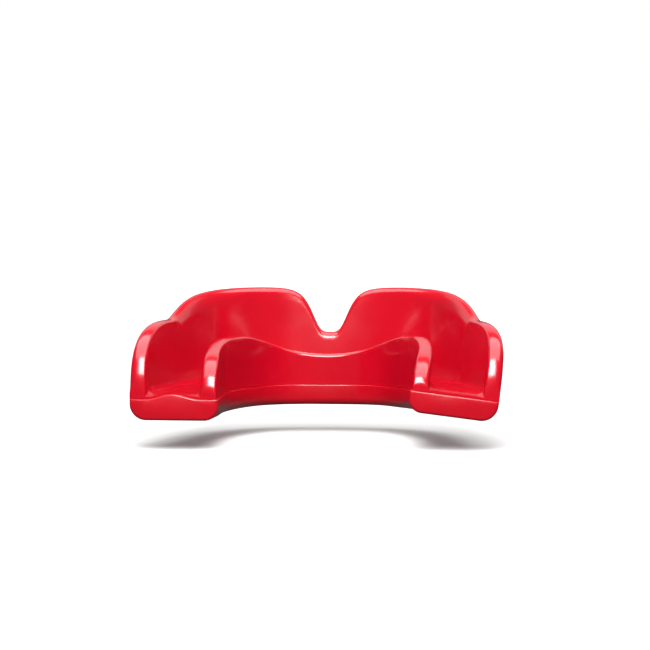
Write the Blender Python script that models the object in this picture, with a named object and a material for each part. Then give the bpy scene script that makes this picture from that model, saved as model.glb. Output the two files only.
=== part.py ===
"""Boil-and-bite mouthguard for the upper teeth, built as four moulded pieces.

The guard lies on its base plate: +Z up, the lips' side towards -Y, the open molar ends
towards +Y and the wearer's left arm at +X. The origin is the centre of the bounding box's
bottom. Sizes are in millimetres and are scaled to metres when a mesh is made.

Every surface is placed by three co-ordinates: s, the arc length along the dental arch from
the midline (positive on the wearer's right); n, the distance outward from the arch's centre
line; and z, the height. A section is a ring of such points, and each piece is a loft
through sections with the same number of points.
"""

from math import cos, pi, radians, sin, tan

import bmesh
import bpy
import numpy as np
from mathutils import Matrix

MM = 0.001
OBJECT_NAME = "mouthguard"
GAP = 0.3

# Dental arch: centre line of the tooth channel, seen from above.
ARCH_HALF_WIDTH = 21.1
ARCH_SPLAY = 0.05
ARCH_DEPTH = 43.4
ARCH_EXPONENT = 3.0

# Tooth channel and walls.
CHANNEL_AT_MOLARS = 9.3
CHANNEL_AT_INCISORS = 6.6
CHANNEL_TAPER_LENGTH = 20.0
OUTER_WALL_AT_MOLARS = 2.6
OUTER_WALL_AT_INCISORS = 3.6
OUTER_RIM_AT_INCISORS = 2.4
INNER_WALL_AT_MOLARS = 2.6
INNER_WALL_AT_INCISORS = 2.2
FRONT_LEAN = radians(6.0)
CHANNEL_FLOOR = 4.25
FLOOR_FILLET = 1.2

# Base plate with its ledge.
LEDGE_HEIGHT = 3.55
LEDGE_WIDTH = 0.4
BASE_CORNER_RADIUS = 2.3
END_EDGE_RADIUS = 0.5
TRAY_FLOOR = 2.0
TRAY_LIP = 1.0
END_LIP = 1.0
END_SLOPE = 0.3

# Rim heights of the outer flange: molar lobe, front lobes and the frenum notch.
MOLAR_LOBE_HEIGHT = 15.9
FRONT_LOBE_RISE = 4.6
FRONT_LOBE_START = 33.0
FRONT_LOBE_LENGTH = 10.0
FRONT_LOBE_EXPONENT = 1.5
NOTCH_DEPTH = 8.3
NOTCH_HALF_WIDTH = 4.05
NOTCH_EXPONENT = 2.2
OUTER_END_LENGTH = 18.0
OUTER_END_EXPONENT = 2.6

# Rim heights of the inner flange behind the teeth.
INNER_MIDDLE_HEIGHT = 8.75
INNER_SIDE_RISE = 3.12
INNER_SIDE_START = 21.0
INNER_SLOPE_START = 24.0
INNER_SLOPE = 0.075
INNER_END_LENGTH = 7.0
INNER_END_EXPONENT = 2.6

# Rounding of the rims, across the wall.
RIM_SMALL_RADIUS = 0.4
RIM_LARGE_RADIUS = 1.0
RIM_FRONT_RADIUS = 1.1

# The firm frame covers the outside of the guard up to a step below the rim.
SKIN_THICKNESS = 1.3
SKIN_BELOW_RIM = 2.8

# Cushions under the molars, between the frame and the liner.
CUSHION_START = 4.0
CUSHION_END = 19.5
CUSHION_HALF_WIDTH = 3.0
CUSHION_BOTTOM = 1.3
CUSHION_TOP = 2.95
CUSHION_CORNER = 0.45

# The wearer's right arm is set with a slight twist, its outer edge staying on the table.
ARM_TWIST = radians(7.5)
TWIST_START = 18.0
TWIST_PIVOT_INSET = 1.5

# Fineness of the lofts.
END_STATIONS = (0.0, 0.15, 0.5, 1.0, 1.3, 1.6, 2.2, 3.2, 4.5, 6.0, 7.7, 9.7, 12.0, 15.0, 18.0)
STATION_STEP = 2.0
NOTCH_STEP = 1.0
ARCH_SAMPLES = 6001
CORNER_ANGLES = (0.0, 30.0, 60.0, 90.0)
CUSHION_STATIONS = 11
CUSHION_END_NARROWING = 0.45
MERGE_DISTANCE = 0.000004
SHARP_ANGLE = radians(40.0)

# Linear colours of the three rubbers.
FRAME_COLOUR = (0.62, 0.006, 0.020)
LINER_COLOUR = (0.70, 0.008, 0.024)
CUSHION_COLOUR = (0.45, 0.006, 0.016)


def blend(t):
    """Smooth step from 0 to 1."""
    t = min(max(t, 0.0), 1.0)
    return t * t * (3.0 - 2.0 * t)


def mix(a, b, t):
    return a + (b - a) * t


def make_arch():
    """Arc length, position and outward normal along the channel's centre line."""
    t = np.linspace(0.0, pi / 2, ARCH_SAMPLES)
    power = 2.0 / ARCH_EXPONENT
    forward = ARCH_DEPTH * np.sin(t) ** power
    aside = (ARCH_HALF_WIDTH + ARCH_SPLAY * (ARCH_DEPTH - forward)) * np.cos(t) ** power
    x = np.concatenate([aside, -aside[::-1][1:]])
    y = -np.concatenate([forward, forward[::-1][1:]])
    length = np.concatenate([[0.0], np.cumsum(np.hypot(np.diff(x), np.diff(y)))])
    even = np.linspace(0.0, length[-1], ARCH_SAMPLES)
    x, y = np.interp(even, length, x), np.interp(even, length, y)
    dx, dy = np.gradient(x, even), np.gradient(y, even)
    size = np.hypot(dx, dy)
    return {"s": even - length[-1] / 2, "x": x, "y": y, "nx": -dy / size, "ny": dx / size}


ARCH = make_arch()
ARCH_END = float(ARCH["s"][-1])


def from_end(s):
    """Distance forward of the nearer molar end."""
    return ARCH_END - abs(s)


def channel_half(s):
    taper = blend(1.0 - from_end(s) / CHANNEL_TAPER_LENGTH)
    return mix(CHANNEL_AT_INCISORS, CHANNEL_AT_MOLARS, taper) / 2


def molar_share(s):
    """0 at the midline, 1 at the molar ends."""
    return blend(1.3 * abs(s) / ARCH_END - 0.15)


def outer_foot_thickness(s):
    return mix(OUTER_WALL_AT_INCISORS, OUTER_WALL_AT_MOLARS, molar_share(s))


def inner_thickness(s):
    return mix(INNER_WALL_AT_INCISORS, INNER_WALL_AT_MOLARS, molar_share(s))


def outer_height(s):
    """Height of the outer rim without the rounding at the molar ends."""
    toward_front = max(0.0, FRONT_LOBE_START - abs(s)) / FRONT_LOBE_LENGTH
    lobe = FRONT_LOBE_RISE * (1.0 - np.exp(-toward_front ** FRONT_LOBE_EXPONENT))
    notch = NOTCH_DEPTH * np.exp(-(abs(s) / NOTCH_HALF_WIDTH) ** NOTCH_EXPONENT)
    return MOLAR_LOBE_HEIGHT + lobe - notch


def inner_height(s):
    """Height of the inner rim without the rounding at the molar ends."""
    side = INNER_SIDE_RISE * blend(abs(s) / INNER_SIDE_START)
    slope = INNER_SLOPE * max(0.0, abs(s) - INNER_SLOPE_START)
    return INNER_MIDDLE_HEIGHT + side - slope


def wall_inner_face(s, z):
    """Outer wall's face towards the teeth; the wall leans outward at the front."""
    lean = FRONT_LEAN * (1.0 - molar_share(s))
    return channel_half(s) + tan(lean) * max(0.0, z - LEDGE_HEIGHT)


def wall_outer_face(s, z):
    share = min(max((z - LEDGE_HEIGHT) / (outer_height(s) - LEDGE_HEIGHT), 0.0), 1.0)
    rim = mix(OUTER_RIM_AT_INCISORS, OUTER_WALL_AT_MOLARS, molar_share(s))
    return wall_inner_face(s, z) + mix(outer_foot_thickness(s), rim, share)


def tooth_side_face(s, z=0.0):
    """Inner wall's face towards the teeth."""
    return -channel_half(s)


def palatal_face(s, z=0.0):
    """Inner wall's face towards the palate."""
    return -channel_half(s) - inner_thickness(s)


def place(s, n, z):
    """The point (s, n, z) in the guard's frame, with the right arm's twist."""
    twist = ARM_TWIST * blend((s - TWIST_START) / (ARCH_END - TWIST_START))
    pivot = channel_half(s) + outer_foot_thickness(s) - TWIST_PIVOT_INSET
    aside = n - pivot
    n = pivot + aside * cos(twist) + z * sin(twist)
    z = z * cos(twist) - aside * sin(twist)
    x, y, nx, ny = (float(np.interp(s, ARCH["s"], ARCH[key])) for key in ("x", "y", "nx", "ny"))
    return (x + n * nx) * MM, (y + n * ny) * MM, z * MM


def stations(first):
    """Arc positions from one molar end to the other, closer at the ends and the notch."""
    ends = [d for d in END_STATIONS if d > first]
    side = [ARCH_END - first] + [ARCH_END - d for d in ends]
    middle = 8.0
    steps = int(round((side[-1] - middle) / STATION_STEP))
    side += list(np.linspace(side[-1], middle, steps + 1)[1:])
    side += list(np.linspace(middle, 0.0, int(middle / NOTCH_STEP) + 1)[1:])
    return [-s for s in side] + side[::-1][1:]


def rim_point(s, height, length, exponent):
    """Foot and rim of a wall's section line that fans backward round the molar end."""
    start = LEDGE_WIDTH
    turn = min(max((from_end(s) - start) / (length - start), 0.0), 1.0) * pi / 2
    power = 2.0 / exponent
    back = start + (length - start) * (1.0 - cos(turn) ** power)
    rim_s = s if turn >= pi / 2 else (ARCH_END - back) * (1.0 if s > 0 else -1.0)
    rise = (height(rim_s) - CHANNEL_FLOOR) * sin(turn) ** power
    return rim_s, CHANNEL_FLOOR + rise


def climb(foot, rim, share):
    """Point at a share of the way from a section line's foot to its rim, as (s, z)."""
    return mix(foot[0], rim[0], share), mix(foot[1], rim[1], share)


def wall_points(foot, rim, near, far, near_radius, far_radius):
    """Section of a wall, up its near face, over the rounded rim and down its far face.

    near and far give n on the two faces at (s, z).
    """
    rise = float(np.hypot(rim[0] - foot[0], rim[1] - foot[1]))
    outward = 1.0 if far(*rim) > near(*rim) else -1.0
    near_radius = min(near_radius, 0.45 * rise)
    far_radius = min(far_radius, 0.45 * rise)
    straight = 1.0 - near_radius / max(rise, 0.01)
    points = []
    for share in (0.25 * straight, 0.6 * straight):
        s, z = climb(foot, rim, share)
        points.append((s, near(s, z), z))
    for angle in (0, 45, 90):
        s, z = climb(foot, rim, 1.0 - near_radius * (1.0 - sin(radians(angle))) / max(rise, 0.01))
        points.append((s, near(s, z) + outward * near_radius * (1.0 - cos(radians(angle))), z))
    for angle in (90, 45, 0):
        s, z = climb(foot, rim, 1.0 - far_radius * (1.0 - sin(radians(angle))) / max(rise, 0.01))
        points.append((s, far(s, z) - outward * far_radius * (1.0 - cos(radians(angle))), z))
    return points


def outer_section_line(s):
    foot = (s, CHANNEL_FLOOR)
    return foot, rim_point(s, outer_height, OUTER_END_LENGTH, OUTER_END_EXPONENT)


def inner_section_line(s):
    foot = (s, CHANNEL_FLOOR)
    return foot, rim_point(s, inner_height, INNER_END_LENGTH, INNER_END_EXPONENT)


def skin_top(s, clearance):
    """Where the frame's skin ends on the outer wall's section line, less a clearance."""
    foot, rim = outer_section_line(s)
    rise = float(np.hypot(rim[0] - foot[0], rim[1] - foot[1]))
    reach = rise - SKIN_BELOW_RIM + clearance
    if reach <= 0.0:
        return s, LEDGE_HEIGHT + clearance
    return climb(foot, rim, reach / rise)


def liner_section(s):
    """U-shaped ring of the soft liner: flange, recess for the skin, tongue, flange, floor."""
    near_end = from_end(s) < END_LIP + END_SLOPE + GAP - 0.01
    tongue = LEDGE_HEIGHT + GAP if near_end else TRAY_FLOOR + GAP
    rim_radius = mix(RIM_FRONT_RADIUS, RIM_SMALL_RADIUS, molar_share(s))
    foot, rim = outer_section_line(s)
    points = wall_points(foot, rim, wall_inner_face, wall_outer_face, rim_radius, RIM_LARGE_RADIUS)

    recess = SKIN_THICKNESS + GAP
    top_s, top_z = skin_top(s, GAP)
    middle = climb((s, LEDGE_HEIGHT + GAP), (top_s, top_z), 0.5)
    foot_n = wall_outer_face(s, LEDGE_HEIGHT) - recess
    points.append((top_s, wall_outer_face(top_s, top_z), top_z))
    points.append((top_s, wall_outer_face(top_s, top_z) - recess, top_z))
    points.append((middle[0], wall_outer_face(*middle) - recess, middle[1]))
    points.append((s, foot_n, LEDGE_HEIGHT + GAP))
    points.append((s, foot_n, tongue))

    palatal = palatal_face(s)
    lip_side = palatal - LEDGE_WIDTH + TRAY_LIP + GAP
    points.append((s, lip_side, tongue))
    points.append((s, lip_side, LEDGE_HEIGHT + GAP))
    points.append((s, palatal, LEDGE_HEIGHT + GAP))
    foot, rim = inner_section_line(s)
    points += wall_points(
        foot, rim, tooth_side_face, palatal_face, RIM_LARGE_RADIUS, RIM_SMALL_RADIUS
    )[::-1]

    fillet = min(FLOOR_FILLET, 0.4 * (rim[1] - CHANNEL_FLOOR))
    half = channel_half(s)
    for angle in (60, 25, 0):
        inset = fillet * (1.0 - sin(radians(angle)))
        lift = fillet * (1.0 - cos(radians(angle)))
        points.append((s, -half + inset, CHANNEL_FLOOR + lift))
    for angle in (0, 25, 60):
        inset = fillet * (1.0 - sin(radians(angle)))
        lift = fillet * (1.0 - cos(radians(angle)))
        points.append((s, half - inset, CHANNEL_FLOOR + lift))
    return points


def frame_section(s):
    """L-shaped ring of the firm frame: skin, base plate with round corners, lip and tray."""
    d = from_end(s)
    inset = 0.0
    if d < END_EDGE_RADIUS:
        inset = END_EDGE_RADIUS - (END_EDGE_RADIUS ** 2 - (END_EDGE_RADIUS - d) ** 2) ** 0.5
    radius = BASE_CORNER_RADIUS - inset
    outer = wall_outer_face(s, LEDGE_HEIGHT) - inset
    inner = palatal_face(s) - LEDGE_WIDTH + inset
    ledge = LEDGE_HEIGHT - 0.5 * inset
    tray = ledge if d < END_LIP + 0.01 else TRAY_FLOOR
    top_s, top_z = skin_top(s, 0.0)
    if top_z == LEDGE_HEIGHT:
        top_z = ledge
    middle = climb((s, ledge), (top_s, top_z), 0.5)
    top_n = outer if top_z == ledge else wall_outer_face(top_s, top_z)
    middle_n = outer if top_z == ledge else wall_outer_face(*middle)

    points = [(top_s, top_n - SKIN_THICKNESS, top_z), (top_s, top_n, top_z)]
    points.append((middle[0], middle_n, middle[1]))
    points.append((s, outer, ledge))
    for angle in CORNER_ANGLES:
        across = radius * (1.0 - cos(radians(angle)))
        up = inset + radius * (1.0 - sin(radians(angle)))
        points.append((s, outer - across, up))
    for angle in CORNER_ANGLES[::-1]:
        across = radius * (1.0 - cos(radians(angle)))
        up = inset + radius * (1.0 - sin(radians(angle)))
        points.append((s, inner + across, up))
    points.append((s, inner, ledge))
    points.append((s, inner + TRAY_LIP, ledge))
    points.append((s, inner + TRAY_LIP, tray))
    points.append((s, outer - SKIN_THICKNESS, tray))
    points.append((middle[0], middle_n - SKIN_THICKNESS, middle[1]))
    return points


def cushion_sections(side, grow):
    """Rings of an oblong cushion with rounded ends, enlarged by grow for its pocket."""
    centre = (CUSHION_START + CUSHION_END) / 2
    reach = (CUSHION_END - CUSHION_START) / 2 + grow
    rings = []
    for turn in np.linspace(-1.0, 1.0, CUSHION_STATIONS):
        along = sin(turn * pi / 2)
        width = (CUSHION_HALF_WIDTH + grow) * (1.0 - CUSHION_END_NARROWING * abs(along) ** 6)
        s = side * (ARCH_END - centre - reach * along)
        corner = CUSHION_CORNER
        low, high = CUSHION_BOTTOM - grow, CUSHION_TOP + grow
        rings.append([
            (s, -width + corner, low), (s, width - corner, low),
            (s, width, low + corner), (s, width, high - corner),
            (s, width - corner, high), (s, -width + corner, high),
            (s, -width, high - corner), (s, -width, low + corner),
        ])
    return rings


def make_material(name, colour, roughness):
    """Glossy moulded rubber of one colour."""
    material = bpy.data.materials.new(name)
    material.use_nodes = True
    shader = material.node_tree.nodes["Principled BSDF"]
    shader.inputs["Base Color"].default_value = (*colour, 1.0)
    shader.inputs["Roughness"].default_value = roughness
    shader.inputs["Metallic"].default_value = 0.0
    material.diffuse_color = (*colour, 1.0)
    return material


def make_loft(name, rings, collection, material=None):
    """Closed solid through rings of (s, n, z) points, capped at both ends."""
    mesh = bmesh.new()
    rows = [[mesh.verts.new(place(*point)) for point in ring] for ring in rings]
    count = len(rows[0])
    for row, following in zip(rows, rows[1:]):
        for i in range(count):
            j = (i + 1) % count
            mesh.faces.new((row[i], row[j], following[j], following[i]))
    mesh.faces.new(rows[0][::-1])
    mesh.faces.new(rows[-1])
    bmesh.ops.remove_doubles(mesh, verts=mesh.verts, dist=MERGE_DISTANCE)
    bmesh.ops.recalc_face_normals(mesh, faces=mesh.faces)
    data = bpy.data.meshes.new(name)
    mesh.to_mesh(data)
    mesh.free()
    data.shade_smooth()
    data.set_sharp_from_angle(angle=SHARP_ANGLE)
    piece = bpy.data.objects.new(name, data)
    if material:
        data.materials.append(material)
    collection.objects.link(piece)
    return piece


def make_collection(name):
    collection = bpy.data.collections.new(name)
    bpy.context.scene.collection.children.link(collection)
    return collection


def cut(piece, cutter):
    """Subtract a cutter, which itself is not part of the guard."""
    modifier = piece.modifiers.new("pocket_" + cutter.name, "BOOLEAN")
    modifier.operation = "DIFFERENCE"
    modifier.solver = "EXACT"
    modifier.object = cutter
    cutter.hide_render = True
    cutter.display_type = "WIRE"


def make_frame(collection, material):
    """Firm outer frame: bite plate with its ledge, and the skin on the lips' side."""
    rings = [frame_section(s) for s in stations(0.0)]
    return make_loft("outer_frame", rings, collection, material)


def make_liner(collection, material):
    """Soft liner that takes the teeth's print, in one U-shaped channel."""
    rings = [liner_section(s) for s in stations(LEDGE_WIDTH)]
    return make_loft("gel_liner", rings, collection, material)


def make_cushion(name, side, collection, material):
    return make_loft(name, cushion_sections(side, 0.0), collection, material)


def make_pocket(name, side, collection):
    return make_loft(name, cushion_sections(side, GAP), collection)


def centre_on_origin(pieces, cutters):
    """Move all meshes together so that the origin is the bottom centre of the guard's box."""
    corners = np.array([vertex.co for piece in pieces for vertex in piece.data.vertices])
    low, high = corners.min(axis=0), corners.max(axis=0)
    shift = Matrix.Translation((-(low[0] + high[0]) / 2, -(low[1] + high[1]) / 2, -low[2]))
    for piece in pieces + cutters:
        piece.data.transform(shift)


def main():
    for old in list(bpy.data.objects):
        bpy.data.objects.remove(old, do_unlink=True)
    guard = make_collection(OBJECT_NAME)
    tools = make_collection("cutters")
    frame_rubber = make_material("firm_red_rubber", FRAME_COLOUR, 0.22)
    liner_rubber = make_material("soft_red_rubber", LINER_COLOUR, 0.16)
    cushion_rubber = make_material("cushion_red_gel", CUSHION_COLOUR, 0.35)

    frame = make_frame(guard, frame_rubber)
    liner = make_liner(guard, liner_rubber)
    pieces = [frame, liner]
    cutters = []
    for word, side in (("left", -1.0), ("right", 1.0)):
        pieces.append(make_cushion("molar_cushion_" + word, side, guard, cushion_rubber))
        pocket = make_pocket("pocket_" + word, side, tools)
        cut(frame, pocket)
        cut(liner, pocket)
        cutters.append(pocket)
    centre_on_origin(pieces, cutters)


main()
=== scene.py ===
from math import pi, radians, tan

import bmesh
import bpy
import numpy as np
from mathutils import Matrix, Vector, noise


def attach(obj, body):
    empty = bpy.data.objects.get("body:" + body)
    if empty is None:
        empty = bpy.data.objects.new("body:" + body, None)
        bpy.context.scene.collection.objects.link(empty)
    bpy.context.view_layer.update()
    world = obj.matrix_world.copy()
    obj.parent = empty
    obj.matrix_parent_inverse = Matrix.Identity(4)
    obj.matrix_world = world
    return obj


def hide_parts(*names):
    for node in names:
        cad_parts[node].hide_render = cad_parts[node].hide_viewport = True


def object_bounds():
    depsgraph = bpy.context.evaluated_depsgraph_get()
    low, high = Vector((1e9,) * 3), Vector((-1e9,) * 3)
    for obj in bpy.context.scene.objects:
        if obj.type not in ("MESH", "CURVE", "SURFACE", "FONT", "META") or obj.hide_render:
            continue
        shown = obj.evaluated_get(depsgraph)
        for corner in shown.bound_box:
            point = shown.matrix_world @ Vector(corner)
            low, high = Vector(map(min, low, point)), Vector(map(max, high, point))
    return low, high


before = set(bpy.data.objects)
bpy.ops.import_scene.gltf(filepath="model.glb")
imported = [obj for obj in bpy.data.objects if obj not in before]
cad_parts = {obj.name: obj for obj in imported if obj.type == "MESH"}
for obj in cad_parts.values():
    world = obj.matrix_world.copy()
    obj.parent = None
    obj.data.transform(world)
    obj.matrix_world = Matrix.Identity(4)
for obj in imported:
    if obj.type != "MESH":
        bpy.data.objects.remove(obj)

# The looks of a red boil-and-bite mouthguard, level and with its base plate down.
#
# The frame has +Z up, the lips' side towards -Y, the molar ends towards +Y and the
# wearer's left arm at +X. The moulded surfaces are lofts, as in the CAD model but many times
# finer, and they are set in place by the CAD model's own box. Every point of a surface has
# three co-ordinates in millimetres: s, the arc length along the dental arch from the midline
# (positive on the wearer's right); n, the distance outward from the arch's centre line; and
# z, the height. The shape constants are in millimetres too. Those of the rubber, floor and
# lights are in metres and watts, and so is the camera's place; its lens is in millimetres.

MM = 0.001
CAD_LOW, CAD_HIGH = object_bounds()

# Dental arch: centre line of the tooth channel, seen from above.
ARCH_HALF_WIDTH = 21.1
ARCH_SPLAY = 0.05
ARCH_DEPTH = 43.4
ARCH_EXPONENT = 3.0
ARCH_SAMPLES = 6001

# Tooth channel and walls. Thickness and lean go from the incisors' values to the molars' over
# the molar share of the arm.
CHANNEL_AT_MOLARS = 9.3
CHANNEL_AT_INCISORS = 6.6
CHANNEL_TAPER_LENGTH = 20.0
MOLAR_SHARE_SLOPE = 1.3
MOLAR_SHARE_OFFSET = 0.15
OUTER_WALL_AT_MOLARS = 2.6
OUTER_WALL_AT_INCISORS = 3.6
OUTER_RIM_AT_INCISORS = 2.4
INNER_WALL_AT_MOLARS = 2.6
INNER_WALL_AT_INCISORS = 2.2
FRONT_LEAN = radians(6.0)
CHANNEL_FLOOR = 4.25
FLOOR_FILLET = 1.2
FILLET_LIMIT = 0.4

# Base plate with its ledge and the tray that holds the liner.
LEDGE_HEIGHT = 3.55
LEDGE_WIDTH = 0.4
LEDGE_EDGE_RADIUS = 0.12
LEDGE_END_FALL = 0.35
BASE_CORNER_RADIUS = 2.3
BASE_CORNER_RADIUS_FRONT = 1.3
BASE_CORNER_CHANGE = 13.0
BASE_OUTER_RADIUS = 2.8
END_EDGE_RADIUS = 0.5
TRAY_FLOOR = 2.0
TRAY_LIP = 1.0
END_LIP = 1.0

# Rim heights of the outer flange: molar lobe, front lobes and the frenum notch.
MOLAR_LOBE_HEIGHT = 15.9
FRONT_LOBE_RISE = 4.85
FRONT_LOBE_START = 34.0
FRONT_LOBE_LENGTH = 9.6
FRONT_LOBE_EXPONENT = 1.5
NOTCH_DEPTH = 8.3
NOTCH_HALF_WIDTH = 3.2
NOTCH_EXPONENT = 3.9
OUTER_END_LENGTH = 18.0
OUTER_END_EXPONENT = 2.6

# Rim heights of the inner flange behind the teeth.
INNER_MIDDLE_HEIGHT = 8.95
INNER_SIDE_RISE = 3.7
INNER_SIDE_START = 26.0
INNER_SLOPE_START = 33.0
INNER_SLOPE_EASE = 4.0
INNER_SLOPE = 0.14
INNER_RIGHT_FALL = 1.7
INNER_END_LENGTH = 8.5
INNER_END_EXPONENT = 2.4

# Cross-section of the rims. The outer rim's edge towards the channel is crisp at the molars and
# rolls over in front of them, farthest at the pinch between the lobes; the inner rim is crisp
# towards the palate. A fine groove follows the crisp edges at the molars. No rounding takes more
# than ROUNDING_LIMIT of a wall's height.
RIM_CRISP_RADIUS = 0.35
RIM_CRISP_START = 31.5
RIM_CRISP_FULL = 35.5
RIM_ROUND_RADIUS = 1.0
RIM_FRONT_RADIUS = 1.35
RIM_NOTCH_DROP = 0.9
RIM_PINCH_DROP = 3.2
RIM_PINCH_START = 10.0
RIM_PINCH_LENGTH = 14.0
RIM_CROWN = 0.16
INNER_ROUND_RADIUS = 0.7
INNER_ROUND_RADIUS_FRONT = 0.8
RIM_GROOVE_DEPTH = 0.05
RIM_GROOVE_WIDTH = 0.16
RIM_GROOVE_PLACE = 1.6
ROUNDING_LIMIT = 0.45
SMALLEST_RISE = 0.001

# The firm frame covers the outside of the guard up to a witness line below the rim.
SKIN_THICKNESS = 1.3
SKIN_BELOW_RIM = 2.8
JOINT = 0.04
WITNESS_GROOVE = 0.12

# Cushions in pockets between the frame and the liner, hidden under the molars.
CUSHION_START = 4.0
CUSHION_END = 19.5
CUSHION_HALF_WIDTH = 3.0
CUSHION_BOTTOM = 1.3
CUSHION_TOP = 2.95
CUSHION_PLAN_EXPONENT = 5.0
CUSHION_SECTION_EXPONENT = 4.0
CUSHION_STATIONS = 33
CUSHION_POINTS = 40
CUSHION_END_TURN = 0.03
POCKET_GAP = 0.1
POCKET_RIM_START = 1.08
POCKET_RIM_END = 1.3

# The wearer's right arm is set with a slight twist.
ARM_TWIST = radians(7.5)
TWIST_START = 18.0
TWIST_PIVOT_INSET = 1.5

# Small marks of moulding: the swollen end of the left bite pad (the frame's lip swells only
# beyond the liner's end face), the channel floor's droop at the molar ends, and the faint
# unevenness of moulded rubber.
PAD_SWELL = 0.85
PAD_SWELL_HALF_WIDTH = 4.4
PAD_SWELL_LENGTH = 5.0
FLOOR_SWELL_SHARE = 0.6
FLOOR_DROOP = 0.3
FLOOR_DROOP_LENGTH = 3.0
UNEVENNESS = 0.025
UNEVENNESS_SIZE = 7.0
UNEVENNESS_END = 1.0

# Rubber: two reds for each kind, noise scales per metre, and finish.
FIRM_DEEP = (0.37, 0.0009, 0.008)
FIRM_BRIGHT = (0.43, 0.0014, 0.010)
FIRM_ROUGHNESS = 0.22
FIRM_GRAIN = 0.14
SOFT_DEEP = (0.385, 0.0008, 0.009)
SOFT_BRIGHT = (0.45, 0.0013, 0.011)
SOFT_ROUGHNESS = 0.19
SOFT_GRAIN = 0.10
GEL_DEEP = (0.30, 0.0010, 0.008)
GEL_BRIGHT = (0.38, 0.0020, 0.012)
GEL_ROUGHNESS = 0.35
GEL_GRAIN = 0.10
CLOUD_SCALE = 90.0
CLOUD_DETAIL = 4.0
CLOUD_EDGES = (0.2, 0.8)
HAZE_SCALE = 260.0
HAZE_DETAIL = 5.0
HAZE_EDGES = (0.1, 0.9)
HAZE_LEAST = 0.8
HAZE_MOST = 1.3
PEEL_SCALE = 1100.0
PEEL_DETAIL = 3.0
PEEL_DEPTH = 0.00005
RUBBER_IOR = 1.48
SUBSURFACE_WEIGHT = 0.15
SUBSURFACE_RADIUS = (1.0, 0.12, 0.1)
SUBSURFACE_SCALE = 0.0012
COAT_WEIGHT = 0.5
COAT_ROUGHNESS = 0.10

# Camera behind the molar ends.
CAMERA_LENS = 167.8
CAMERA_SENSOR = 36.0
CAMERA_ASIDE = -0.03298
CAMERA_DISTANCE = 0.4985
CAMERA_HEIGHT = 0.0401
CAMERA_YAW = radians(3.6)
CAMERA_PITCH = radians(2.76)

# Floor and room. The floor lies a little below the guard, so that its shadow is separate.
FLOOR_RADIUS = 60.0
FLOOR_SIDES = 96
FLOOR_DROP = 0.005
FLOOR_GREY = 0.6
FLOOR_ROUGHNESS = 0.9
FLOOR_GLOW = 0.12
FLOOR_GLOW_START = 0.12
FLOOR_GLOW_END = 0.6
ROOM_REFLECTED = 0.08
ROOM_FILL = 0.25

# Soft lights: place from the guard's centre, width and height, and power.
OVERHEAD_PLACE = (0.0, 0.0, 0.50)
OVERHEAD_SIZE = (0.80, 0.60)
OVERHEAD_POWER = 4.7
KEY_PLACE = (0.0, 0.24, 0.19)
KEY_SIZE = (0.15, 0.20)
KEY_POWER = 1.85
BACKDROP_PLACE = (0.0, -0.80, 0.40)
BACKDROP_SIZE = (1.6, 0.5)
BACKDROP_POWER = 1.1
FRONT_FILL_PLACE = (0.0, -0.80, 0.35)
FRONT_FILL_SIZE = (1.6, 0.6)
FRONT_FILL_POWER = 5.0

# Fineness of the lofts: steps in millimetres, counts, and the merge distance in metres.
END_STEPS = (0.0, 0.02, 0.06, 0.12, 0.2, 0.3, 0.34, 0.38)
STATION_STEP = 0.4
RIM_ARC_STEPS = 7
WALL_STEPS = 12
CORNER_STEPS = 10
EDGE_STEPS = 5
LEDGE_STEPS = 3
FLAT_STEPS = 8
TRAY_STEPS = 24
MERGE_DISTANCE = 0.000002
SHARP_ANGLE = radians(50.0)


def blend(t):
    """Smooth step from 0 to 1."""
    t = np.clip(t, 0.0, 1.0)
    return t * t * (3.0 - 2.0 * t)


def mix(a, b, t):
    return a + (b - a) * t


def make_arch():
    """Arc length, position and outward normal along the channel's centre line."""
    t = np.linspace(0.0, pi / 2, ARCH_SAMPLES)
    power = 2.0 / ARCH_EXPONENT
    forward = ARCH_DEPTH * np.sin(t) ** power
    aside = (ARCH_HALF_WIDTH + ARCH_SPLAY * (ARCH_DEPTH - forward)) * np.cos(t) ** power
    x = np.concatenate([aside, -aside[::-1][1:]])
    y = -np.concatenate([forward, forward[::-1][1:]])
    length = np.concatenate([[0.0], np.cumsum(np.hypot(np.diff(x), np.diff(y)))])
    even = np.linspace(0.0, length[-1], ARCH_SAMPLES)
    x, y = np.interp(even, length, x), np.interp(even, length, y)
    dx, dy = np.gradient(x, even), np.gradient(y, even)
    size = np.hypot(dx, dy)
    return {"s": even - length[-1] / 2, "x": x, "y": y, "nx": -dy / size, "ny": dx / size}


ARCH = make_arch()
ARCH_END = float(ARCH["s"][-1])


def from_end(s):
    """Distance forward of the nearer molar end."""
    return ARCH_END - abs(s)


def channel_half(s):
    taper = blend(1.0 - from_end(s) / CHANNEL_TAPER_LENGTH)
    return mix(CHANNEL_AT_INCISORS, CHANNEL_AT_MOLARS, taper) / 2


def molar_share(s):
    """0 at the midline, 1 at the molar ends."""
    return blend(MOLAR_SHARE_SLOPE * abs(s) / ARCH_END - MOLAR_SHARE_OFFSET)


def outer_foot_thickness(s):
    return mix(OUTER_WALL_AT_INCISORS, OUTER_WALL_AT_MOLARS, molar_share(s))


def inner_thickness(s):
    return mix(INNER_WALL_AT_INCISORS, INNER_WALL_AT_MOLARS, molar_share(s))


def outer_height(s):
    """Height of the outer rim without the rounding at the molar ends."""
    toward_front = max(0.0, FRONT_LOBE_START - abs(s)) / FRONT_LOBE_LENGTH
    lobe = FRONT_LOBE_RISE * (1.0 - np.exp(-toward_front ** FRONT_LOBE_EXPONENT))
    notch = NOTCH_DEPTH / (1.0 + (abs(s) / NOTCH_HALF_WIDTH) ** NOTCH_EXPONENT)
    return MOLAR_LOBE_HEIGHT + lobe - notch


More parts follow.
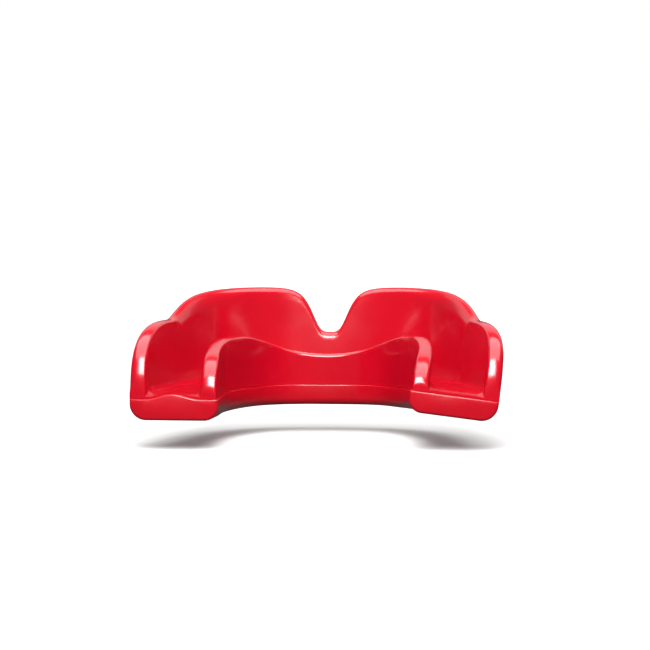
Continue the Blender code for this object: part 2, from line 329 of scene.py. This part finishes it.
def inner_height(s):
    """Height of the inner rim without the rounding at the molar ends."""
    side = INNER_SIDE_RISE * blend(abs(s) / INNER_SIDE_START)
    beyond = max(0.0, abs(s) - INNER_SLOPE_START)
    fall = INNER_SLOPE * beyond ** 2 / (beyond + INNER_SLOPE_EASE)
    if s > 0.0:
        fall *= INNER_RIGHT_FALL
    return INNER_MIDDLE_HEIGHT + side - fall


def wall_inner_face(s, z):
    """Outer wall's face towards the teeth; the wall leans outward at the front."""
    lean = FRONT_LEAN * (1.0 - molar_share(s))
    return channel_half(s) + tan(lean) * max(0.0, z - LEDGE_HEIGHT)


def wall_outer_face(s, z):
    share = min(max((z - LEDGE_HEIGHT) / (outer_height(s) - LEDGE_HEIGHT), 0.0), 1.0)
    rim = mix(OUTER_RIM_AT_INCISORS, OUTER_WALL_AT_MOLARS, molar_share(s))
    return wall_inner_face(s, z) + mix(outer_foot_thickness(s), rim, share)


def tooth_side_face(s, z):
    """Inner wall's face towards the teeth."""
    return -channel_half(s)


def palatal_face(s, z):
    """Inner wall's face towards the palate."""
    return -channel_half(s) - inner_thickness(s)


def pad_swell(s, n):
    """Rise of the left bite pad's swollen end, over the channel floor and the ledge."""
    if s > 0.0 or abs(n) > PAD_SWELL_HALF_WIDTH:
        return 0.0
    across = np.cos(n / PAD_SWELL_HALF_WIDTH * pi / 2) ** 2
    return PAD_SWELL * across * (1.0 - blend(from_end(s) / PAD_SWELL_LENGTH))


def floor_height(s, n):
    droop = FLOOR_DROOP * (1.0 - blend((from_end(s) - LEDGE_WIDTH) / FLOOR_DROOP_LENGTH))
    return CHANNEL_FLOOR - droop + FLOOR_SWELL_SHARE * pad_swell(s, n)


def pocket_share(s, n):
    """1 over a molar cushion's pocket, falling to 0 past its rim."""
    reach = (CUSHION_END - CUSHION_START) / 2
    along = abs(from_end(s) - (CUSHION_START + CUSHION_END) / 2) / reach
    across = abs(n) / CUSHION_HALF_WIDTH
    power = CUSHION_PLAN_EXPONENT
    radius = (along ** power + across ** power) ** (1.0 / power)
    return 1.0 - blend((radius - POCKET_RIM_START) / (POCKET_RIM_END - POCKET_RIM_START))


def place(points):
    """Points (s, n, z) in millimetres as positions in metres, with the right arm's twist."""
    s, n, z = np.moveaxis(np.asarray(points, float), -1, 0)
    twist = ARM_TWIST * blend((s - TWIST_START) / (ARCH_END - TWIST_START))
    pivot = channel_half(s) + outer_foot_thickness(s) - TWIST_PIVOT_INSET
    aside = n - pivot
    n = pivot + aside * np.cos(twist) + z * np.sin(twist)
    z = z * np.cos(twist) - aside * np.sin(twist)
    x, y, nx, ny = (np.interp(s, ARCH["s"], ARCH[key]) for key in ("x", "y", "nx", "ny"))
    return np.stack([x + n * nx, y + n * ny, z], axis=-1) * MM


def stations(first):
    """Arc positions from one molar end to the other."""
    ends = [ARCH_END - first - step for step in END_STEPS]
    count = int(ends[-1] / STATION_STEP)
    side = ends + list(np.linspace(ends[-1], 0.0, count + 1)[1:])
    return [-s for s in side] + side[::-1][1:]


def section_line(s, height, length, exponent):
    """Foot and rim, as (s, z), of a wall's section line, which fans back round the end."""
    start = LEDGE_WIDTH
    turn = min(max((from_end(s) - start) / (length - start), 0.0), 1.0) * pi / 2
    power = 2.0 / exponent
    back = start + (length - start) * (1.0 - max(np.cos(turn), 0.0) ** power)
    rim_s = s if turn >= pi / 2 else (ARCH_END - back) * np.sign(s)
    rise = (height(rim_s) - CHANNEL_FLOOR) * np.sin(turn) ** power
    return np.array([s, CHANNEL_FLOOR]), np.array([rim_s, CHANNEL_FLOOR + rise])


def outer_section_line(s):
    return section_line(s, outer_height, OUTER_END_LENGTH, OUTER_END_EXPONENT)


def inner_section_line(s):
    return section_line(s, inner_height, INNER_END_LENGTH, INNER_END_EXPONENT)


def rim_profile(width, crisp, drop, rounded, groove, rise):
    """Rim from the crisp edge's face to the round edge's, as (across, below the crown)."""
    angles = np.linspace(0.0, pi / 2, RIM_ARC_STEPS)
    first = [(crisp * (1.0 - np.cos(a)), drop * (1.0 - np.sin(a))) for a in angles]
    middle = [(across, 0.0) for across in np.linspace(crisp, width - rounded, FLAT_STEPS)[1:-1]]
    last = [
        (width - rounded * (1.0 - np.cos(a)), rounded * (1.0 - np.sin(a)))
        for a in angles[::-1]
    ]
    profile = []
    for across, below in first + middle + last:
        crown = rise * (2.0 * across / width - 1.0) ** 2
        line = groove * np.exp(-((across - RIM_GROOVE_PLACE * crisp) / RIM_GROOVE_WIDTH) ** 2)
        profile.append((across, below + crown + line))
    return profile


def wall_points(foot, rim, crisp_face, round_face, crisp, drop, rounded, groove, start):
    """Section of a wall: up the crisp edge's face from a height over the foot, and over the rim."""
    rise = max(float(np.hypot(*(rim - foot))), SMALLEST_RISE)
    toward = np.sign(round_face(*rim) - crisp_face(*rim))
    width = abs(round_face(*rim) - crisp_face(*rim))
    limit = ROUNDING_LIMIT * rise
    crisp, drop, rounded = min(crisp, limit), min(drop, limit), min(rounded, limit)
    scale = min(1.0, limit / RIM_ROUND_RADIUS)
    profile = rim_profile(width, crisp, drop, rounded, groove * scale, RIM_CROWN * scale)
    points = []
    for share in np.linspace(start / rise, 1.0 - profile[0][1] / rise, WALL_STEPS)[1:-1]:
        s, z = mix(foot, rim, share)
        points.append((s, crisp_face(s, z), z))
    for across, below in profile:
        s, z = mix(foot, rim, 1.0 - min(below / rise, 1.0))
        points.append((s, crisp_face(s, z) + toward * across, z))
    return points


def far_face_points(foot, rim, face, top, bottom):
    """Points down a wall's far face, from a depth below the rim to a height over the foot."""
    rise = max(float(np.hypot(*(rim - foot))), SMALLEST_RISE)
    points = []
    for share in np.linspace(1.0 - top / rise, bottom / rise, WALL_STEPS)[1:-1]:
        s, z = mix(foot, rim, share)
        points.append((s, face(s, z), z))
    return points


def skin_share(s, clearance):
    """Share of the outer wall's section line at which the frame's skin ends."""
    foot, rim = outer_section_line(s)
    rise = float(np.hypot(*(rim - foot)))
    return max(rise - SKIN_BELOW_RIM + clearance, 0.0) / max(rise, SMALLEST_RISE)


def fillet_radius(rim):
    """Fillet at a wall's foot, at most a share of the wall's height."""
    return min(FLOOR_FILLET, FILLET_LIMIT * (rim[1] - CHANNEL_FLOOR))


def fillet_points(s, side, radius):
    """Fillet between the channel floor and a wall, wall first; side is +1 at the outer wall."""
    points = []
    for angle in np.linspace(pi / 2, 0.0, RIM_ARC_STEPS):
        n = side * (channel_half(s) - radius * (1.0 - np.sin(angle)))
        lift = radius * (1.0 - np.cos(angle))
        points.append((s, n, floor_height(s, n) + lift))
    return points


def rim_edge(s):
    """Outer rim's edge over the teeth: its radius, how far it drops, and its groove's depth."""
    molar = blend((abs(s) - RIM_CRISP_START) / (RIM_CRISP_FULL - RIM_CRISP_START))
    pinch = blend((abs(s) - RIM_PINCH_START) / RIM_PINCH_LENGTH)
    radius = mix(RIM_FRONT_RADIUS, RIM_CRISP_RADIUS, molar)
    drop = mix(mix(RIM_NOTCH_DROP, RIM_PINCH_DROP, pinch), RIM_CRISP_RADIUS, molar)
    return radius, drop, RIM_GROOVE_DEPTH * molar


def liner_outer_flange(s, fillet):
    """Outer flange of the liner, over its rim and down to the recess for the frame's skin."""
    foot, rim = outer_section_line(s)
    radius, drop, groove = rim_edge(s)
    points = wall_points(
        foot, rim, wall_inner_face, wall_outer_face, radius, drop, RIM_ROUND_RADIUS, groove, fillet
    )
    rise = float(np.hypot(*(rim - foot)))
    top = min(RIM_ROUND_RADIUS + RIM_CROWN, ROUNDING_LIMIT * rise)
    bottom = skin_share(s, WITNESS_GROOVE) * rise
    return points + far_face_points(foot, rim, wall_outer_face, top, bottom)


def liner_recess(s):
    """Recess for the frame's skin, from the witness line down to the base plate's ledge."""
    foot, rim = outer_section_line(s)
    low = np.array([s, LEDGE_HEIGHT + JOINT])
    share = skin_share(s, WITNESS_GROOVE)
    top = mix(foot, rim, share) if share > 0.0 else low
    points = [(top[0], wall_outer_face(*top), top[1])]
    for part in np.linspace(1.0, 0.0, WALL_STEPS):
        at_s, at_z = mix(low, top, part)
        points.append((at_s, wall_outer_face(at_s, at_z) - SKIN_THICKNESS - JOINT, at_z))
    return points


def liner_underside(s, skin_side):
    """Tongue in the frame's tray, with the cushion's pocket, and the step over the tray's lip."""
    tongue = LEDGE_HEIGHT + JOINT if from_end(s) < END_LIP + JOINT else TRAY_FLOOR + JOINT
    palatal = palatal_face(s, 0.0)
    lip_side = palatal - LEDGE_WIDTH + TRAY_LIP + JOINT
    pocket = CUSHION_TOP + POCKET_GAP - TRAY_FLOOR - JOINT
    points = []
    for n in np.linspace(skin_side, lip_side, TRAY_STEPS):
        points.append((s, n, tongue + pocket * pocket_share(s, n)))
    points.append((s, lip_side, LEDGE_HEIGHT + JOINT))
    points.append((s, palatal, LEDGE_HEIGHT + JOINT))
    points.append((s, palatal, CHANNEL_FLOOR))
    return points


def liner_inner_flange(s, fillet):
    """Inner flange of the liner, up from the palate's side, over its rim and down again."""
    foot, rim = inner_section_line(s)
    groove = rim_edge(s)[2]
    rounded = mix(INNER_ROUND_RADIUS_FRONT, INNER_ROUND_RADIUS, molar_share(s))
    crisp = RIM_CRISP_RADIUS
    points = wall_points(foot, rim, palatal_face, tooth_side_face, crisp, crisp, rounded, groove, 0.0)
    rise = float(np.hypot(*(rim - foot)))
    top = min(rounded + RIM_CROWN, ROUNDING_LIMIT * rise)
    return points + far_face_points(foot, rim, tooth_side_face, top, fillet)


def liner_floor(s, inner_fillet, outer_fillet):
    """Floor of the tooth channel with its two fillets."""
    points = fillet_points(s, -1.0, inner_fillet)
    low_n = -channel_half(s) + inner_fillet
    high_n = channel_half(s) - outer_fillet
    for n in np.linspace(low_n, high_n, FLAT_STEPS + 2)[1:-1]:
        points.append((s, n, floor_height(s, n)))
    return points + fillet_points(s, 1.0, outer_fillet)[::-1]


def liner_section(s):
    """Ring of the soft liner: outer flange, recess, tongue, inner flange and channel floor."""
    outer_fillet = fillet_radius(outer_section_line(s)[1])
    inner_fillet = fillet_radius(inner_section_line(s)[1])
    points = liner_outer_flange(s, outer_fillet)
    points += liner_recess(s)
    points += liner_underside(s, points[-1][1])
    points += liner_inner_flange(s, inner_fillet)
    return points + liner_floor(s, inner_fillet, outer_fillet)


def end_inset(s):
    """How far the frame's end edges are drawn in by their rounding."""
    depth = from_end(s)
    if depth >= END_EDGE_RADIUS:
        return 0.0
    return END_EDGE_RADIUS - (END_EDGE_RADIUS ** 2 - (END_EDGE_RADIUS - depth) ** 2) ** 0.5


def frame_skin(s, outer, ledge):
    """The skin's outer face down to the ledge's height, and its inner face up again."""
    foot = np.array([s, ledge])
    line_foot, line_rim = outer_section_line(s)
    share = skin_share(s, 0.0)
    top = mix(line_foot, line_rim, share) if share > 0.0 else foot

    def face(at_s, at_z):
        n = wall_outer_face(at_s, at_z)
        return n if share > 0.0 else min(n, outer)

    down = [(top[0], face(*top) - SKIN_THICKNESS, top[1])]
    for part in np.linspace(1.0, 0.0, WALL_STEPS):
        at = mix(foot, top, part)
        down.append((at[0], face(*at), at[1]))
    up = []
    for part in np.linspace(0.0, 1.0, WALL_STEPS)[1:-1]:
        at = mix(foot, top, part)
        up.append((at[0], face(*at) - SKIN_THICKNESS, at[1]))
    return down, up


def base_plate(s, outer, inner, inset):
    """Underside with its round corners, from the lips' side to the palate's."""
    change = blend(from_end(s) / BASE_CORNER_CHANGE)
    bold = BASE_OUTER_RADIUS - inset
    radius = mix(BASE_CORNER_RADIUS, BASE_CORNER_RADIUS_FRONT, change) - inset
    angles = np.linspace(0.0, pi / 2, CORNER_STEPS)
    points = []
    for angle in angles:
        across, up = bold * (1.0 - np.cos(angle)), inset + bold * (1.0 - np.sin(angle))
        points.append((s, outer - across, up))
    for n in np.linspace(outer - bold, inner + radius, FLAT_STEPS)[1:-1]:
        points.append((s, n, inset))
    for angle in angles[::-1]:
        across, up = radius * (1.0 - np.cos(angle)), inset + radius * (1.0 - np.sin(angle))
        points.append((s, inner + across, up))
    return points


def ledge_and_tray(s, outer, inner, ledge):
    """Ledge with its round edge, and tray with the cushion's pocket; the end's lip closes it."""
    floor = ledge if from_end(s) < END_LIP else TRAY_FLOOR
    raised = 1.0 if from_end(s) < LEDGE_WIDTH - JOINT else 0.0
    pocket = TRAY_FLOOR - CUSHION_BOTTOM + POCKET_GAP
    edge = LEDGE_EDGE_RADIUS
    points = []
    for angle in np.linspace(0.0, pi / 2, EDGE_STEPS):
        across, below = edge * (1.0 - np.cos(angle)), edge * (1.0 - np.sin(angle))
        points.append((s, inner + across, ledge - below + raised * pad_swell(s, inner + across)))
    for n in np.linspace(inner + edge, inner + TRAY_LIP, LEDGE_STEPS)[1:]:
        points.append((s, n, ledge + raised * pad_swell(s, n)))
    for n in np.linspace(inner + TRAY_LIP, outer - SKIN_THICKNESS, TRAY_STEPS):
        points.append((s, n, floor + raised * pad_swell(s, n) - pocket * pocket_share(s, n)))
    return points


def frame_section(s):
    """Ring of the firm frame: skin, base plate with round corners, ledge and tray."""
    inset = end_inset(s)
    outer = wall_outer_face(s, LEDGE_HEIGHT) - inset
    inner = palatal_face(s, 0.0) - LEDGE_WIDTH + inset
    ledge = LEDGE_HEIGHT - LEDGE_END_FALL * inset
    down, up = frame_skin(s, outer, ledge)
    return down + base_plate(s, outer, inner, inset) + ledge_and_tray(s, outer, inner, ledge) + up


def cushion_sections(side):
    """Rings of an oblong cushion with rounded edges and ends; side is -1 on the wearer's left."""
    centre = (CUSHION_START + CUSHION_END) / 2
    reach = (CUSHION_END - CUSHION_START) / 2
    middle = (CUSHION_BOTTOM + CUSHION_TOP) / 2
    power = 2.0 / CUSHION_SECTION_EXPONENT
    last = pi / 2 - CUSHION_END_TURN
    rings = []
    for along in np.sin(np.linspace(-last, last, CUSHION_STATIONS)):
        s = side * (ARCH_END - centre - along * reach)
        full = (1.0 - abs(along) ** CUSHION_PLAN_EXPONENT) ** (1.0 / CUSHION_PLAN_EXPONENT)
        ring = []
        for angle in np.linspace(0.0, 2.0 * pi, CUSHION_POINTS, endpoint=False):
            across, up = np.cos(angle), np.sin(angle)
            n = CUSHION_HALF_WIDTH * full * np.sign(across) * abs(across) ** power
            lift = (CUSHION_TOP - CUSHION_BOTTOM) / 2 * full * np.sign(up) * abs(up) ** power
            ring.append((s, n, middle + lift))
        rings.append(ring)
    return rings


def make_loft(name, rings, material):
    """Closed surface through rings of (s, n, z) points, capped at both ends."""
    positions = place(rings)
    mesh = bmesh.new()
    rows = [[mesh.verts.new(position) for position in row] for row in positions]
    count = len(rows[0])
    for row, following in zip(rows, rows[1:]):
        for i in range(count):
            j = (i + 1) % count
            mesh.faces.new((row[i], row[j], following[j], following[i]))
    mesh.faces.new(rows[0][::-1])
    mesh.faces.new(rows[-1])
    bmesh.ops.remove_doubles(mesh, verts=mesh.verts, dist=MERGE_DISTANCE)
    bmesh.ops.recalc_face_normals(mesh, faces=mesh.faces)
    data = bpy.data.meshes.new(name)
    mesh.to_mesh(data)
    mesh.free()
    data.materials.append(material)
    piece = bpy.data.objects.new(name, data)
    bpy.context.scene.collection.objects.link(piece)
    return piece


def settle(pieces):
    """Centre the lofts on the CAD model's box in plan, with the base plate on its bottom."""
    base = pieces[0].data
    points = np.array([vertex.co for vertex in base.vertices])
    everything = np.array([vertex.co for piece in pieces for vertex in piece.data.vertices])
    low, high = everything.min(axis=0), everything.max(axis=0)
    centre = (CAD_LOW + CAD_HIGH) / 2
    shift = Vector((centre.x - (low[0] + high[0]) / 2, centre.y - (low[1] + high[1]) / 2,
                    CAD_LOW.z - points[:, 2].min()))
    for piece in pieces:
        piece.data.transform(Matrix.Translation(shift))


def roughen(piece):
    """Faint unevenness of moulded rubber."""
    normals = [vertex.normal.copy() for vertex in piece.data.vertices]
    fade_start = CAD_HIGH.y - UNEVENNESS_END * MM
    for vertex, normal in zip(piece.data.vertices, normals):
        fade = blend((fade_start - vertex.co.y) / (UNEVENNESS_END * MM))
        wave = noise.noise(vertex.co / (UNEVENNESS_SIZE * MM))
        vertex.co += normal * (UNEVENNESS * MM * wave * float(fade))


def smooth(piece):
    piece.data.shade_smooth()
    piece.data.set_sharp_from_angle(angle=SHARP_ANGLE)


def dress(piece, node):
    """Let a smooth-shaded piece stand for a CAD node."""
    smooth(piece)
    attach(piece, "root")
    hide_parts(node)


def add_noise(material, scale, detail):
    """Output of a noise texture laid through the piece, at a scale per metre."""
    nodes, links = material.node_tree.nodes, material.node_tree.links
    where = nodes.new("ShaderNodeTexCoord")
    texture = nodes.new("ShaderNodeTexNoise")
    texture.inputs["Scale"].default_value = scale
    texture.inputs["Detail"].default_value = detail
    links.new(where.outputs["Object"], texture.inputs["Vector"])
    return texture.outputs["Fac"]


def add_clouds(material, shader, deep, bright):
    """Cloudy colour between two reds."""
    nodes, links = material.node_tree.nodes, material.node_tree.links
    colour = nodes.new("ShaderNodeValToRGB")
    colour.color_ramp.interpolation = "EASE"
    for element, edge, red in zip(colour.color_ramp.elements, CLOUD_EDGES, (deep, bright)):
        element.position = edge
        element.color = (*red, 1.0)
    links.new(add_noise(material, CLOUD_SCALE, CLOUD_DETAIL), colour.inputs["Fac"])
    links.new(colour.outputs["Color"], shader.inputs["Base Color"])


def add_haze(material, shader, roughness):
    """Roughness that wanders a little round its mean."""
    nodes, links = material.node_tree.nodes, material.node_tree.links
    spread = nodes.new("ShaderNodeMapRange")
    spread.inputs["From Min"].default_value = HAZE_EDGES[0]
    spread.inputs["From Max"].default_value = HAZE_EDGES[1]
    spread.inputs["To Min"].default_value = roughness * HAZE_LEAST
    spread.inputs["To Max"].default_value = roughness * HAZE_MOST
    links.new(add_noise(material, HAZE_SCALE, HAZE_DETAIL), spread.inputs["Value"])
    links.new(spread.outputs["Result"], shader.inputs["Roughness"])


def add_peel(material, shader, grain):
    """Faint orange-peel skin."""
    nodes, links = material.node_tree.nodes, material.node_tree.links
    bump = nodes.new("ShaderNodeBump")
    bump.inputs["Strength"].default_value = grain
    bump.inputs["Distance"].default_value = PEEL_DEPTH
    links.new(add_noise(material, PEEL_SCALE, PEEL_DETAIL), bump.inputs["Height"])
    links.new(bump.outputs["Normal"], shader.inputs["Normal"])


def make_rubber(name, deep, bright, roughness, grain):
    """Glossy, slightly translucent moulded rubber."""
    material = bpy.data.materials.new(name)
    material.use_nodes = True
    shader = material.node_tree.nodes["Principled BSDF"]
    add_clouds(material, shader, deep, bright)
    add_haze(material, shader, roughness)
    add_peel(material, shader, grain)
    shader.inputs["IOR"].default_value = RUBBER_IOR
    shader.inputs["Subsurface Weight"].default_value = SUBSURFACE_WEIGHT
    shader.inputs["Subsurface Radius"].default_value = SUBSURFACE_RADIUS
    shader.inputs["Subsurface Scale"].default_value = SUBSURFACE_SCALE
    shader.inputs["Coat Weight"].default_value = COAT_WEIGHT
    shader.inputs["Coat Roughness"].default_value = COAT_ROUGHNESS
    material.diffuse_color = (*bright, 1.0)
    return material


def make_floor_material():
    """Matt pale grey that glows more, the farther it is from the guard."""
    material = bpy.data.materials.new("pale_floor")
    material.use_nodes = True
    nodes, links = material.node_tree.nodes, material.node_tree.links
    shader = nodes["Principled BSDF"]
    where = nodes.new("ShaderNodeTexCoord")
    distance = nodes.new("ShaderNodeVectorMath")
    distance.operation = "LENGTH"
    glow = nodes.new("ShaderNodeMapRange")
    glow.interpolation_type = "SMOOTHSTEP"
    glow.inputs["From Min"].default_value = FLOOR_GLOW_START
    glow.inputs["From Max"].default_value = FLOOR_GLOW_END
    glow.inputs["To Min"].default_value = FLOOR_GLOW
    glow.inputs["To Max"].default_value = 1.0
    links.new(where.outputs["Object"], distance.inputs[0])
    links.new(distance.outputs["Value"], glow.inputs["Value"])
    links.new(glow.outputs["Result"], shader.inputs["Emission Strength"])
    shader.inputs["Emission Color"].default_value = (1.0, 1.0, 1.0, 1.0)
    shader.inputs["Base Color"].default_value = (FLOOR_GREY, FLOOR_GREY, FLOOR_GREY, 1.0)
    shader.inputs["Roughness"].default_value = FLOOR_ROUGHNESS
    shader.inputs["Specular IOR Level"].default_value = 0.0
    return material


def make_floor(centre):
    """Plain floor a little below the guard, which leaves the rubber's colour alone."""
    mesh = bmesh.new()
    bmesh.ops.create_circle(mesh, cap_ends=True, segments=FLOOR_SIDES, radius=FLOOR_RADIUS)
    data = bpy.data.meshes.new("floor")
    mesh.to_mesh(data)
    mesh.free()
    data.materials.append(make_floor_material())
    floor = bpy.data.objects.new("floor", data)
    floor.location = (centre.x, centre.y, CAD_LOW.z - FLOOR_DROP)
    floor.visible_diffuse = False
    floor.visible_glossy = False
    bpy.context.scene.collection.objects.link(floor)


def make_softbox(name, centre, offset, size, power):
    """Rectangular area light that faces the guard."""
    data = bpy.data.lights.new(name, "AREA")
    data.shape = "RECTANGLE"
    data.size, data.size_y = size
    data.energy = power
    light = bpy.data.objects.new(name, data)
    light.location = centre + Vector(offset)
    light.visible_camera = False
    light.rotation_mode = "QUATERNION"
    light.rotation_quaternion = (-Vector(offset)).to_track_quat("-Z", "Y")
    bpy.context.scene.collection.objects.link(light)
    return light


def make_lights(centre):
    """Overhead and key light, a backdrop that the rims mirror, and a fill for the lips' side."""
    make_softbox("overhead", centre, OVERHEAD_PLACE, OVERHEAD_SIZE, OVERHEAD_POWER)
    make_softbox("key", centre, KEY_PLACE, KEY_SIZE, KEY_POWER)
    make_softbox("backdrop", centre, BACKDROP_PLACE, BACKDROP_SIZE, BACKDROP_POWER)
    fill = make_softbox("front_fill", centre, FRONT_FILL_PLACE, FRONT_FILL_SIZE, FRONT_FILL_POWER)
    fill.visible_glossy = False


def make_camera(centre):
    """Behind the molar ends, slightly above, looking forward and a little to the left."""
    data = bpy.data.cameras.new("camera")
    data.lens = CAMERA_LENS
    data.sensor_width = CAMERA_SENSOR
    camera = bpy.data.objects.new("camera", data)
    camera.location = (centre.x + CAMERA_ASIDE, CAD_HIGH.y + CAMERA_DISTANCE, CAD_LOW.z + CAMERA_HEIGHT)
    heading = Vector((tan(CAMERA_YAW), -1.0, 0.0)).normalized()
    heading.z = -tan(CAMERA_PITCH)
    camera.rotation_mode = "QUATERNION"
    camera.rotation_quaternion = heading.to_track_quat("-Z", "Y")
    bpy.context.scene.collection.objects.link(camera)
    bpy.context.scene.camera = camera


def make_world():
    """White to the camera, a dim room in reflections and a soft fill on matt surfaces."""
    world = bpy.data.worlds.new("studio")
    world.use_nodes = True
    nodes, links = world.node_tree.nodes, world.node_tree.links
    path = nodes.new("ShaderNodeLightPath")
    shade = None
    for ray, level in (("Is Diffuse Ray", ROOM_FILL), ("Is Camera Ray", 1.0)):
        step = nodes.new("ShaderNodeMix")
        step.inputs["A"].default_value = ROOM_REFLECTED
        step.inputs["B"].default_value = level
        links.new(path.outputs[ray], step.inputs["Factor"])
        if shade:
            links.new(shade, step.inputs["A"])
        shade = step.outputs["Result"]
    links.new(shade, nodes["Background"].inputs["Strength"])
    nodes["Background"].inputs["Color"].default_value = (1.0, 1.0, 1.0, 1.0)
    bpy.context.scene.world = world


def make_guard():
    """The four moulded pieces, each in place of its CAD node."""
    firm = make_rubber("firm_red_rubber", FIRM_DEEP, FIRM_BRIGHT, FIRM_ROUGHNESS, FIRM_GRAIN)
    soft = make_rubber("soft_red_rubber", SOFT_DEEP, SOFT_BRIGHT, SOFT_ROUGHNESS, SOFT_GRAIN)
    gel = make_rubber("cushion_red_gel", GEL_DEEP, GEL_BRIGHT, GEL_ROUGHNESS, GEL_GRAIN)
    base = make_loft("firm_base", [frame_section(s) for s in stations(0.0)], firm)
    liner = make_loft("soft_liner", [liner_section(s) for s in stations(LEDGE_WIDTH)], soft)
    left = make_loft("cushion_left", cushion_sections(-1.0), gel)
    right = make_loft("cushion_right", cushion_sections(1.0), gel)
    settle([base, liner, left, right])
    roughen(base)
    roughen(liner)
    dress(base, "outer_frame")
    dress(liner, "gel_liner")
    dress(left, "molar_cushion_left")
    dress(right, "molar_cushion_right")


def main():
    centre = (CAD_LOW + CAD_HIGH) / 2
    make_camera(centre)
    make_guard()
    make_floor(centre)
    make_world()
    make_lights(centre)
    bpy.context.scene.view_settings.view_transform = "Standard"


main()
